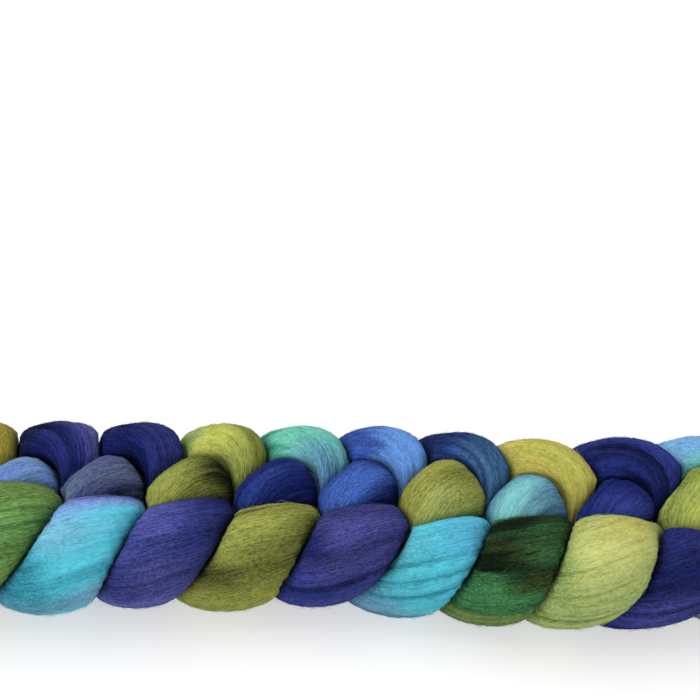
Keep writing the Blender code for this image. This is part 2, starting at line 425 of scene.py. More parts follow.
    def wind(self) -> None:
        """Work out the angle by which the fibres have wound round the strand at each ring.

        It is the sum along the strand of the tangent of the fibres' lean over the radius.
        """
        places = [row[0] for row in START] + PLACES * len(UNEVENNESS) + [row[0] for row in FINISH]
        leans = [LEAN[place.split("_")[0]] for place in places]
        lean = np.radians(np.interp(self.row, np.arange(len(leans)), leans))
        winding = np.tan(lean) / np.maximum(self.radius, self.wind_radius)
        self.twist = np.cumsum(winding) * self.arc[1]

    def angles(self) -> np.ndarray:
        """Return the angle of each point round a ring."""
        return np.linspace(0.0, 2 * math.pi, self.sides, endpoint=False)

    def spokes(self) -> np.ndarray:
        """Return the unit directions from each ring's centre to its points."""
        angle = self.angles()[None, :, None]
        return np.cos(angle) * self.side_a[:, None] + np.sin(angle) * self.side_b[:, None]

    def press(self) -> None:
        """Work out the share of its loose radius that the wool fills at each point.

        A point's share of a ring is its distance from the ring's centre over the ring's
        radius. A turn may grow until another turn's share is as small as its own. That place
        is found by halving, and a soft minimum rounds it into the turn's loose outline.
        """
        centres = self.route.astype(np.float32)
        radii = self.radius.astype(np.float32)
        spokes = self.spokes().astype(np.float32)
        window = round(self.press_window / self.ring_gap)
        count = len(centres)
        self.fill = np.ones((count, self.sides), np.float32)
        for start in range(0, count, self.press_chunk):
            mine = slice(start, min(start + self.press_chunk, count))
            end = min(count, mine.stop + window)
            near = slice(max(0, start - window), end, self.press_stride)
            apart = np.abs(self.arc[mine, None] - self.arc[None, near])
            own = apart < self.own_stretch * (radii[mine, None] + radii[None, near])
            weight = 1.0 / radii[near] ** 2
            here, others = centres[mine], centres[near]
            middle = here[:, None] - others[None]
            fixed = (middle**2).sum(-1)[:, None, :]
            slope = 2.0 * np.einsum("rsk,rok->rso", spokes[mine], middle)

            def other_share(part: np.ndarray) -> np.ndarray:
                """Return the least share that other turns have of points along the spokes.

                Args:
                    part: each point's share of its own ring.

                Returns:
                    The least of its shares of the other turns' rings.
                """
                reach = (part * radii[mine, None])[:, :, None]
                square = (fixed + slope * reach + reach**2) * weight
                return np.sqrt(np.where(own[:, None, :], np.inf, square).min(-1))

            low = np.zeros((len(here), self.sides), np.float32)
            high = np.ones_like(low)
            loose = other_share(high)
            for _ in range(self.press_steps):
                half = (low + high) / 2
                over = other_share(half) < half
                high = np.where(over, half, high)
                low = np.where(over, low, half)
            open_side = np.minimum(loose, self.press_past)
            pressed = np.where(loose < 1.0, (low + high) / 2, open_side)
            loose_end, pressed_end = -1.0 / self.press_soft, -self.press_gap / self.press_soft
            self.fill[mine] = -self.press_soft * np.logaddexp(loose_end, pressed_end * pressed)
        self.fill = np.clip(self.fill, self.least_fill, 1.0)

    def surface(self, height: np.ndarray) -> Grid:
        """Return the strand's skin.

        A point is its ring's centre plus its spoke times the pressed radius and the height.
        Below the table's top the skin settles on it: z becomes half of z plus the root of its
        square and the square of a small length.

        Args:
            height: how far the skin stands off the pressed radius, ring by side.

        Returns:
            The skin's points and outward normals.
        """
        reach = self.fill * self.radius[:, None] + height
        points = self.route[:, None] + self.spokes() * reach[:, :, None]
        points[:, :, 2] = (points[:, :, 2] + np.hypot(points[:, :, 2], self.table_soft)) / 2
        along = np.gradient(points, axis=0)
        around = np.roll(points, -1, axis=1) - np.roll(points, 1, axis=1)
        normals = np.cross(around, along)
        size = np.linalg.norm(normals, axis=2, keepdims=True)
        return Grid(points, normals / np.maximum(size, NO_LENGTH))

    def outward_at(self, arc: float) -> float:
        """Return the outward angle at a distance along the strand."""
        return float(self.outward[np.searchsorted(self.arc, arc)])

    def near(self, spot: Spot) -> tuple[slice, np.ndarray, np.ndarray]:
        """Measure the skin round a spot, pulled out straight.

        Args:
            spot: the place on the strand, with its length along it.

        Returns:
            The rings that the spot's length covers, and for each point of them its distance
            from the spot along the strand and round it.
        """
        arc = np.interp(self.row_number(spot.stitch, spot.place, spot.past), self.row, self.arc)
        first, last = np.searchsorted(self.arc, [arc - spot.length, arc + spot.length])
        rings = slice(first, last)
        along = np.broadcast_to((self.arc[rings] - arc)[:, None], (last - first, self.sides))
        wound = self.twist[rings] - np.interp(arc, self.arc, self.twist)
        middle = self.outward_at(arc) + np.radians(spot.around) + wound[:, None]
        turn = (self.angles()[None, :] - middle + math.pi) % (2 * math.pi) - math.pi
        return rings, along, turn * self.radius[rings, None]


@dataclass(frozen=True)
class Spot:
    """A place on the strand's skin with its size.

    The around angle, in degrees, is measured about the strand's heading from the side that
    looks away from the chain's middle line. Length and width are in metres.
    """

    stitch: int
    place: str
    past: float
    around: float
    length: float
    width: float


@dataclass(frozen=True)
class Patch:
    """A part of a turn whose dye differs from the rest."""

    spot: Spot
    dye: Dye
    strength: float
    edge: float = 0.55              # half the width of its soft edge, as a share of its size


@dataclass(frozen=True)
class Fold:
    """A soft trough where the locks of a turn part or fold, with its depth."""

    spot: Spot
    depth: float


# Parts of the turns whose colour differs: most differ in dye, and those marked below as painted
# shade or painted light stand for shade along folds or light on edges. Columns: stitch, place,
# rows past it, angle around from the outward side, length and width in millimetres, dye,
# strength and, where it is not the usual one, how soft its edge is.
PATCHED = (
    # far legs
    (2, "far_crown", 0.0, -108, 40, 20, Dye.MINT, 0.8),
    (3, "far_rise", 0.5, -35, 34, 12, Dye.INDIGO, 0.5),
    # painted shade along the fold below
    (3, "far_rise", 0.6, -60, 60, 2.5, Dye.MIDNIGHT, 0.7),
    (3, "far_crown", 0.4, -80, 40, 2.0, Dye.INDIGO, 0.5),
    (4, "far_rise", 0.8, -62, 24, 14, Dye.CITRON, 0.6),
    (4, "far_base", 0.4, -60, 24, 26, Dye.BRASS, 0.5),
    (5, "far_rise", 0.0, -26, 30, 13, Dye.STEEL, 0.5),
    (5, "far_rise", 0.9, -84, 20, 10, Dye.BLUE, 0.3),
    (5, "far_crown", 0.2, -60, 40, 12, Dye.DENIM, 0.4, 0.8),
    (5, "far_rise", 0.7, -76, 40, 14, Dye.ROYAL, 0.65, 0.8),
    (5, "far_rise", 0.0, -52, 28, 12, Dye.STEEL, 0.5, 0.8),
    (5, "far_crown", 0.7, -80, 26, 26, Dye.MIDNIGHT, 0.5),
    (5, "far_rise", 0.5, -66, 46, 2.5, Dye.MIDNIGHT, 0.6),
    # painted shade along the fold below
    (5, "far_rise", 0.4, -78, 40, 2.0, Dye.MIDNIGHT, 0.5),
    (6, "far_rise", 0.2, -34, 30, 22, Dye.CORNFLOWER, 0.9),
    (6, "far_crown", 0.3, -82, 30, 16, Dye.BLUE, 0.3, 0.8),
    (7, "far_rise", 0.5, -90, 26, 12, Dye.SKY, 0.5),
    (7, "far_rise", -0.2, -46, 22, 30, Dye.STEEL, 0.6),
    (7, "far_rise", -0.2, -108, 36, 8, Dye.MINT, 1.0),
    (7, "far_crown", 0.6, -124, 26, 9, Dye.STEEL, 0.8),
    (8, "far_rise", 0.3, -18, 26, 14, Dye.OLIVE, 0.9),
    (8, "far_crown", 0.9, -92, 20, 20, Dye.LEAF, 0.6),
    (9, "far_rise", 0.2, -32, 36, 20, Dye.INDIGO, 0.7),
    (10, "far_rise", 0.5, -10, 50, 14, Dye.PERIWINKLE, 0.5),
    (10, "far_rise", 0.8, -40, 30, 9, Dye.VIOLET, 0.5),
    (10, "far_rise", 0.8, -72, 24, 10, Dye.INDIGO, 0.3),
    # heads
    (1, "head_top", 0.0, 8, 26, 16, Dye.CITRON, 0.4),
    (2, "head_top", -0.1, 0, 22, 22, Dye.INDIGO, 0.7),
    (2, "head_far", 0.2, 0, 16, 40, Dye.INK, 0.7),
    (3, "head_top", 0.0, 22, 26, 22, Dye.AQUA, 1.0),
    (3, "head_far", 0.3, -60, 26, 22, Dye.STEEL, 0.7),
    (4, "head_far", 0.6, 36, 22, 8, Dye.MOSS, 0.5),
    (4, "head_top", 0.1, 0, 26, 16, Dye.LIME, 0.4),
    (4, "head_top", 0.2, -80, 26, 20, Dye.BRASS, 0.6),
    (4, "head_far", 0.4, -36, 14, 14, Dye.OLIVE, 0.75),
    (4, "head_far", 0.9, -46, 22, 18, Dye.FERN, 0.5, 0.8),
    # painted light: lifts this head's lower edge where the next near leg presses on it
    (4, "head_top", 0.0, -42, 22, 14, Dye.LIME, 0.3, 0.8),
    (5, "head_top", -0.1, 4, 28, 20, Dye.BLUE, 0.7),
    (5, "head_far", 0.4, -80, 30, 22, Dye.INK, 0.9),
    (6, "head_far", 0.7, -4, 20, 12, Dye.ROYAL, 0.35),
    (6, "head_far", 0.4, -56, 24, 16, Dye.INK, 0.8),
    (7, "head_far", 0.7, 14, 26, 16, Dye.FERN, 0.5),
    (7, "head_far", 0.4, -62, 20, 14, Dye.MOSS, 0.5, 0.8),
    (7, "far_tuck", 0.9, -72, 20, 40, Dye.MOSS, 0.95, 0.8),
    (7, "far_tuck", 0.8, -88, 16, 30, Dye.BOTTLE, 0.9),
    (8, "head_far", 0.8, -32, 14, 22, Dye.MIDNIGHT, 0.3),
    (8, "head_top", 0.4, 44, 18, 7, Dye.SAGE, 0.5),
    (8, "head_far", 0.3, -44, 18, 8, Dye.SAGE, 0.25),
    (8, "head_top", 0.1, -20, 20, 14, Dye.INDIGO, 0.3),
    (8, "head_top", 0.0, -76, 20, 12, Dye.VIOLET, 0.6),
    (9, "head_far", 0.2, -4, 12, 30, Dye.MIST, 0.5, 0.8),
    # near legs
    (2, "near_tuck", 0.9, -14, 40, 18, Dye.INDIGO, 0.9),
    (2, "near_crown", -0.4, -72, 44, 30, Dye.INK, 0.5),
    (2, "near_side", 0.3, -3, 30, 12, Dye.VIOLET, 0.5, 0.8),
    (2, "near_side", 0.9, -76, 40, 20, Dye.PURPLE, 0.3, 0.8),
    (2, "near_side", 0.3, -28, 24, 12, Dye.PURPLE, 0.3, 0.8),
    (3, "near_side", 0.2, -104, 16, 20, Dye.LEAF, 0.3),
    (3, "near_crown", 0.0, -58, 40, 34, Dye.STRAW, 0.9, 0.8),
    (3, "near_crown", 0.6, -74, 18, 16, Dye.GOLD, 0.6, 0.8),
    (3, "near_side", 0.2, -66, 14, 44, Dye.LEAF, 0.55, 0.8),
    # painted shade along the fold below
    (3, "near_tuck", 0.9, 8, 40, 2.2, Dye.OLIVE, 0.5),
    (3, "near_side", 0.7, -88, 16, 14, Dye.FERN, 0.25, 0.8),
    # painted shade along the fold below
    (3, "near_side", 0.4, -46, 46, 2.0, Dye.OLIVE, 0.3),
    (3, "near_side", 0.3, -20, 46, 2.0, Dye.OLIVE, 0.35),
    (4, "near_side", 0.6, -82, 46, 24, Dye.BOTTLE, 1.0, 0.14),
    (4, "near_side", 0.3, -62, 26, 9, Dye.BOTTLE, 1.0, 0.14),
    (4, "near_side", 0.6, -52, 22, 10, Dye.BOTTLE, 0.85, 0.3),
    (4, "near_crown", 0.4, -94, 22, 10, Dye.BOTTLE, 0.7, 0.5),
    (4, "near_crown", 0.1, -40, 16, 20, Dye.LEAF, 0.15, 0.8),
    (4, "near_crown", 0.35, -66, 16, 12, Dye.EMERALD, 0.6, 0.8),
    (4, "near_crown", 0.2, -62, 14, 16, Dye.FOREST, 0.7),
    (4, "near_crown", 0.6, -80, 12, 22, Dye.FOREST, 0.7),
    (4, "near_side", 0.3, -84, 16, 4, Dye.MOSS, 0.35),
    (4, "near_side", 0.0, -98, 20, 5, Dye.MOSS, 0.4),
    (4, "near_side", 0.5, -72, 34, 3, Dye.FOREST, 0.4),
    (4, "near_side", 0.9, -64, 26, 3, Dye.MOSS, 0.4),
    (4, "near_side", 0.2, -90, 24, 3, Dye.FOREST, 0.3),
    (4, "near_crown", -0.2, -82, 30, 3, Dye.EMERALD, 0.2),
    (4, "near_side", 0.9, -29, 20, 12, Dye.BOTTLE, 0.8),
    (4, "near_crown", 0.4, -48, 16, 12, Dye.EMERALD, 0.4, 0.8),
    (4, "near_crown", 0.0, -20, 20, 10, Dye.MOSS, 0.5),
    (4, "near_side", 0.0, 8, 40, 12, Dye.FERN, 0.5),
    (4, "near_tuck", 0.9, -4, 36, 3, Dye.LIME, 0.35),
    (5, "near_side", 0.1, -86, 24, 20, Dye.AQUA, 0.3),
    (5, "near_crown", 0.4, -66, 16, 24, Dye.CORNFLOWER, 0.3),
    (5, "near_side", 0.2, -48, 22, 30, Dye.TURQUOISE, 0.3, 0.8),
    (5, "near_tuck", 0.4, -24, 20, 12, Dye.CORNFLOWER, 0.3),
    (5, "near_side", 0.6, -26, 50, 44, Dye.TEAL, 0.35, 0.8),
    (5, "near_tuck", 0.6, -8, 24, 14, Dye.AQUA, 0.4, 0.8),
    # painted shade along the three folds below
    (5, "near_side", 0.1, -61, 34, 2.4, Dye.TEAL, 0.7),
    (5, "near_side", 0.3, -36, 46, 2.2, Dye.TEAL, 0.7),
    (5, "near_side", 0.2, -18, 46, 2.2, Dye.TEAL, 0.7),
    (6, "near_side", 0.1, 4, 50, 12, Dye.ROYAL, 0.25),
    (6, "near_side", 0.1, 0, 40, 12, Dye.NAVY, 0.5, 0.8),
    (6, "near_side", 0.9, -52, 22, 14, Dye.VIOLET, 0.5),
    (6, "near_side", 0.3, -60, 16, 16, Dye.INK, 0.8),
    (7, "near_side", 0.9, -44, 40, 16, Dye.FERN, 0.5),
    # painted shade along the fold below
    (7, "near_side", 0.6, -98, 40, 2.0, Dye.MOSS, 0.6),
    (7, "near_crown", 0.7, -52, 14, 26, Dye.OLIVE, 0.7),
    (7, "near_tuck", 0.9, -44, 22, 12, Dye.MOSS, 0.5, 0.8),
    (7, "near_side", 0.1, -27, 40, 12, Dye.MOSS, 0.45, 0.8),
    (7, "near_crown", 0.2, -10, 20, 22, Dye.MOSS, 0.45, 0.8),
    (7, "near_tuck", 0.9, 2, 34, 10, Dye.FERN, 0.6),
    (8, "near_crown", 0.6, -80, 26, 30, Dye.NAVY, 1.0),
    (8, "near_side", 0.6, -50, 50, 2.0, Dye.NAVY, 0.45),
    (8, "near_side", 0.4, -32, 50, 2.0, Dye.NAVY, 0.5),
    (8, "near_crown", -0.1, -50, 34, 22, Dye.INDIGO, 0.6),
    (8, "near_side", 0.8, -86, 22, 12, Dye.PERIWINKLE, 0.25),
    (8, "near_crown", 0.1, -54, 26, 14, Dye.PERIWINKLE, 0.2, 0.8),
    (8, "near_crown", 0.75, -66, 16, 16, Dye.MIDNIGHT, 0.5, 0.8),
    (8, "near_crown", 0.5, -14, 18, 26, Dye.NAVY, 0.6, 0.8),
    (8, "near_tuck", 0.9, -22, 20, 26, Dye.NAVY, 0.55, 0.8),
    # painted light: a paler rim along this lobe's lower edge
    (8, "near_tuck", 0.9, 16, 44, 7, Dye.PERIWINKLE, 0.4),
    (9, "near_side", 0.8, -56, 20, 20, Dye.MIST, 0.6, 0.8),
    (9, "near_side", 0.8, -86, 44, 20, Dye.SKY, 0.9, 0.6),
    (9, "near_crown", 0.2, -96, 40, 18, Dye.PERIWINKLE, 0.85, 0.6),
    (9, "near_crown", 0.8, -100, 24, 10, Dye.VIOLET, 0.9),
    (9, "near_side", 0.1, -30, 18, 34, Dye.TEAL, 0.9, 0.8),
    (9, "near_crown", 0.0, 2, 30, 7, Dye.TEAL, 0.5),
    (9, "near_side", 0.4, 24, 60, 14, Dye.MIST, 0.75, 0.8),
    (9, "near_tuck", 0.9, 6, 30, 12, Dye.TEAL, 0.4),
    (10, "near_crown", 0.3, -30, 40, 22, Dye.GRASS, 0.5),
    (10, "near_crown", 0.3, -72, 50, 34, Dye.OLIVE, 0.3, 0.8),
    (10, "near_crown", 0.5, -40, 28, 2.0, Dye.FOREST, 0.4),
    (10, "near_crown", 0.5, -22, 28, 2.0, Dye.FOREST, 0.4),
    (10, "near_crown", 0.2, 8, 26, 2.0, Dye.FOREST, 0.4),
)

# Soft troughs where a turn's locks fold or part. Columns: stitch, place, rows past it, angle
# around, length, width and depth in millimetres.
FOLDED = (
    (3, "far_rise", 0.7, -64, 56, 4.0, 1.8),
    (3, "far_rise", 0.5, -96, 44, 3.0, 1.0),
    (5, "far_rise", 0.3, -44, 50, 3.0, 1.4),
    (5, "far_rise", 0.3, -84, 46, 3.0, 1.4),
    (6, "far_rise", 0.6, -70, 44, 3.0, 0.9),
    (7, "far_rise", 0.1, -96, 44, 3.0, 1.4),
    (9, "far_rise", 0.6, -52, 56, 3.5, 1.4),
    (10, "far_rise", 0.5, -56, 60, 4.0, 2.0),
    (10, "far_rise", 0.4, -98, 40, 3.0, 1.2),
    (8, "head_far", 0.4, -62, 30, 3.5, 1.6),
    (6, "head_far", 0.8, -40, 30, 2.5, 0.9),
    (4, "head_far", 0.8, 14, 30, 2.5, 0.8),
    (1, "head_top", -0.2, 40, 36, 3.0, 1.2),
    (2, "near_tuck", 0.8, -52, 60, 4.0, 2.2),
    (2, "near_tuck", 0.9, -18, 60, 3.0, 1.6),
    (3, "near_tuck", 0.9, 6, 56, 2.6, 1.2),
    (3, "near_side", 0.3, -42, 40, 2.5, 0.9),
    (3, "near_side", 0.5, -108, 40, 3.0, 1.1),
    (4, "near_side", 0.1, -56, 56, 4.0, 1.2),
    (4, "near_side", 0.0, 2, 50, 3.0, 1.1),
    (5, "near_side", 0.0, -62, 36, 3.0, 1.1),
    (5, "near_side", 0.3, -36, 46, 2.5, 0.9),
    (5, "near_side", 0.2, -18, 46, 2.5, 0.8),
    (6, "near_side", 0.3, 2, 56, 4.0, 2.4),
    (6, "near_crown", 0.0, -96, 44, 3.0, 1.0),
    (7, "near_side", 0.5, -98, 44, 3.0, 1.3),
    (7, "near_tuck", 0.9, -40, 46, 4.0, 1.5),
    (7, "near_side", 0.3, 0, 44, 2.5, 0.8),
    (8, "near_side", 0.3, -8, 56, 3.5, 1.4),
    (8, "near_side", 0.8, -70, 44, 2.5, 0.8),
    (9, "near_crown", 0.0, -94, 60, 3.0, 1.0),
    (9, "near_side", 0.7, -24, 50, 3.0, 0.7),
    (10, "near_side", 0.5, -60, 50, 3.0, 1.0),
    (10, "near_side", 0.2, -30, 50, 3.0, 1.0),
)


def spot_at(row: tuple) -> Spot:
    """Turn the first six columns of a row above into a spot."""
    stitch, place, past, around, length, width = row[:6]
    return Spot(stitch, place, past, around, length * MILLIMETRE, width * MILLIMETRE)


PATCHES = [Patch(spot_at(row), *row[6:]) for row in PATCHED]
FOLDS = [Fold(spot_at(row), row[6] * MILLIMETRE) for row in FOLDED]


@dataclass(frozen=True)
class Glow:
    """How much paler dyes even out what lies on them, since light goes further into them."""

    weights: tuple = (0.3, 0.5, 0.2)   # share of red, green and blue in a dye's brightness
    pale: float = 0.40                 # brightness from which a dye counts as pale
    deep_contrast: float = 1.70        # how strongly fibres stand out in the deepest dye
    contrast_fall: float = 3.4         # how fast that drops with brightness
    least_contrast: float = 0.25       # how strongly they stand out in the palest
    pale_calm: float = 0.45            # how much shallower the relief is in pale dyes

    def paleness(self, colour: np.ndarray) -> np.ndarray:
        """Return how pale each colour is, from 0 to 1."""
        return np.clip(colour @ np.array(self.weights) / self.pale, 0.0, 1.0)

    def contrast(self, colour: np.ndarray) -> np.ndarray:
        """Return how strongly fibres stand out in each colour."""
        contrast = self.deep_contrast - self.contrast_fall * (colour @ np.array(self.weights))
        return np.maximum(contrast, self.least_contrast)


GLOW = Glow()


@dataclass
class Locks:
    """The relief that the wool's locks and fibres give to the strand's skin."""

    strand: Strand
    seed: int = 41
    stray_turn: float = 0.018       # share of a turn by which a lock wanders sideways
    stray_run: float = 0.070        # length of strand over which it wanders
    stray_cells: int = 5            # parts of a ring that wander on their own
    lock_cells: tuple = ((8, 0.100), (19, 0.062), (43, 0.045))   # locks round, length of each
    groove_depth: tuple = (0.0012, 0.0008, 0.00030)              # how deep each size parts
    groove_half: tuple = (0.20, 0.28, 0.40)                      # half width of a parting
    groove_presence: float = 0.6    # how much of the skin has partings, from -1 to 1
    swell: float = 0.0009           # height of the broad unevenness
    swell_run: float = 0.035        # length of strand over which it comes and goes
    swell_cells: int = 7            # how many of its rises and dips go round the strand
    fold_ease: float = 1.6          # how steeply a fold sets in at its two ends
    thin_radius: float = 0.018      # radius below which the relief shrinks with the strand
    tip_run: float = 0.030          # length over which the relief dies out at the two tips
    turn: np.ndarray = field(init=False)
    depth: np.ndarray = field(init=False)
    swelling: np.ndarray = field(init=False)

    def __post_init__(self) -> None:
        """Work out where the fibres run and how deep the locks part."""
        rng = np.random.default_rng(self.seed)
        arc = self.strand.arc[:, None]
        turn = (self.strand.angles()[None, :] - self.strand.twist[:, None]) / (2 * math.pi)
        stray = lattice_noise(rng, arc / self.stray_run, turn, self.stray_cells)
        self.turn = turn + self.stray_turn * stray
        self.depth = np.zeros(self.turn.shape)
        for (cells, run), deep, half in zip(self.lock_cells, self.groove_depth, self.groove_half):
            parting = lattice_noise(rng, arc / run, self.turn, cells)
            presence = lattice_noise(rng, arc / run, self.turn, cells // 2)
            presence = smooth_step(presence + self.groove_presence)
            self.depth += deep * presence * np.exp(-((parting / half) ** 2))
        swelling = lattice_noise(rng, arc / self.swell_run, self.turn, self.swell_cells)
        self.swelling = self.swell * swelling
        for fold in FOLDS:
            self.crease(fold)

    def crease(self, fold: Fold) -> None:
        """Sink a fold: its depth times a bell across it, eased out towards its two ends.

        Args:
            fold: where it lies, and how deep.
        """
        spot = fold.spot
        rings, along, across = self.strand.near(spot)
        bell = np.exp(-((across / (spot.width / 2)) ** 2))
        fade = smooth_step(self.fold_ease * (1.0 - np.abs(along) / (spot.length / 2)))
        self.depth[rings] += fold.depth * bell * fade

    def height(self) -> np.ndarray:
        """Return how far the skin stands off the pressed radius, ring by side."""
        arc = self.strand.arc
        to_tip = np.minimum(arc, arc[-1] - arc)[:, None]
        thin = np.minimum(1.0, self.strand.radius[:, None] / self.thin_radius)
        return (self.swelling - self.depth) * smooth_step(to_tip / self.tip_run) * thin


@dataclass
class DyeingAndPaintedShade:
    """The dyes along the strand, which run into each other lock by lock, with painted shade and
    light.
    """

    strand: Strand
    locks: Locks
    seed: int = 17
    blend: float = 0.30           # rows over which one dye goes over into the next
    wander: float = 0.55          # rows by which a dye's edge differs from lock to lock
    # Layers of unevenness: share, length along the strand and number round it.
    streaks: tuple = ((0.6, 0.060, 16), (0.4, 0.040, 45))     # how far a dye runs
    mottle: tuple = ((0.10, 0.050, 9), (0.08, 0.045, 60))     # how deep it takes
    ragged: float = 0.5           # how much a patch's edge follows the streaks
    light: float = 0.80           # share of the light on a dye that it is seen by
    crease_shade: float = 0.42    # painted shade: how much darker the wool is painted where turns press together
    head_painted_light: float = -0.25    # the same on the heads, below zero: painted light on their lower edges where they press
    head_rise: float = 0.5        # rows before a head's top over which that sets in
    head_rows: float = 2.0        # rows after the top by which it has gone again
    crease_run: float = 0.12      # loss of fill over which it gets that dark
    parting_shade: float = 0.50   # painted shade: how much darker the wool is painted down in its partings and folds
    pale_parting_light: float = -0.04   # the same in pale dyes, below zero: painted light down in their partings and folds
    pale_crease: float = 0.55     # share of the crease's painted shade that pale dyes keep
    parting_full: float = 0.0016  # depth of parting at which it is darkest

    def uneven(self, rng: np.random.Generator, layers: tuple) -> np.ndarray:
        """Add up layers of noise along the locks, each times its share.

        Args:
            rng: source of the random values.
            layers: each layer's share, length along the strand and number round it.

        Returns:
            The sum, ring by side.
        """
        arc = self.strand.arc[:, None]
        return sum(
            share * lattice_noise(rng, arc / run, self.locks.turn, cells)
            for share, run, cells in layers
        )

    def colours(self) -> np.ndarray:
        """Return each point's scene-linear colour, ring by side.

        A dye goes over into the next within a few rows, and the streaks shift where. Patches
        are then laid on, and painted shade darkens partings, folds and where turns press, with
        painted light on the heads' lower edges and in the partings of pale dyes.
        """
        rng = np.random.default_rng(self.seed)
        streaks = self.uneven(rng, self.streaks)
        row = self.strand.row[:, None] + self.wander * streaks
        starts = [self.strand.row_number(*run[:3]) for run in DYED]
        tones = [run[3].linear() for run in DYED]
        marks = np.array([starts[1:]]).T + np.array([[-self.blend, self.blend]])
        pairs = np.stack([tones[:-1], tones[1:]], axis=1).reshape(-1, 3)
        colour = np.stack([np.interp(row, marks.ravel(), pairs[:, k]) for k in range(3)], axis=2)
        for patch in PATCHES:
            self.lay(patch, colour, streaks)
        depth = self.uneven(rng, self.mottle)
        # Painted shade down in the partings and folds; pale dyes get a little painted light there.
        painted_parting_mask = np.clip(self.locks.depth / self.parting_full, 0.0, 1.0)
        pale = GLOW.paleness(colour)
        parting = self.parting_shade + (self.pale_parting_light - self.parting_shade) * pale
        light = self.light * (1.0 + depth) * (1.0 - parting * painted_parting_mask)
        # Painted shade in the creases where turns press, and painted light on the heads' lower
        # edges.
        pressed = smooth_step((1.0 - self.strand.fill) / self.crease_run)
        crease = self.painted_crease_shading()
        crease = crease - (1.0 - self.pale_crease) * pale * np.maximum(crease, 0.0)
        light = light * (1.0 - crease * pressed)
        return np.clip(colour * light[:, :, None], 0.0, 1.0)

    def painted_crease_shading(self) -> np.ndarray:
        """Return each ring's painted crease shade: less from the heads' middle on, painted light
        there.
        """
        place = (self.strand.row - len(START)) % len(STITCH)
        past = place - PLACES.index("head_top")
        low = smooth_step(past / self.head_rise + 1.0) * smooth_step(self.head_rows - past)
        return (self.crease_shade + (self.head_painted_light - self.crease_shade) * low)[:, None]

    def lay(self, patch: Patch, colour: np.ndarray, streaks: np.ndarray) -> None:
        """Mix a patch's dye into the colours inside an oval that is ragged along the fibres.

        Args:
            patch: the dye and where it lies.
            colour: the colours that it is mixed into, ring by side.
            streaks: how far a dye runs at each point, which makes the edge ragged.
        """
        spot = patch.spot
        rings, along, across = self.strand.near(spot)
        lengthwise = along / (spot.length / 2) + self.ragged * streaks[rings]
        oval = np.hypot(lengthwise, across / (spot.width / 2))
        share = patch.strength * smooth_step((1.0 + patch.edge - oval) / (2 * patch.edge))
        colour[rings] += share[:, :, None] * (patch.dye.linear() - colour[rings])


# ------------------------------------------------------------------------------ finishes
class Reading:
    """A shader socket used as a number: each operation on it adds a Math node."""

    def __init__(self, tree: bpy.types.NodeTree, socket: bpy.types.NodeSocket) -> None:
        """Wrap a socket of a node tree."""
        self.tree = tree
        self.socket = socket

    def math(self, operation: str, *values: Reading | float) -> Reading:
        """Add a Math node.

        Args:
            operation: what it does.
            values: the numbers or readings that it takes, in order.

        Returns:
            Its result.
        """
        node = self.tree.nodes.new("ShaderNodeMath")
        node.operation = operation
        for socket, value in zip(node.inputs, values):
            if isinstance(value, Reading):
                self.tree.links.new(value.socket, socket)
            else:
                socket.default_value = value
        return Reading(self.tree, node.outputs[0])

    def __add__(self, other: Reading | float) -> Reading:
        """Add."""
        return self.math("ADD", self, other)

    def __sub__(self, other: Reading | float) -> Reading:
        """Take away."""
        return self.math("SUBTRACT", self, other)

    def __rsub__(self, other: Reading | float) -> Reading:
        """Take this away from a number."""
        return self.math("SUBTRACT", other, self)

    def __mul__(self, other: Reading | float) -> Reading:
        """Multiply."""
        return self.math("MULTIPLY", self, other)

    __radd__ = __add__
    __rmul__ = __mul__


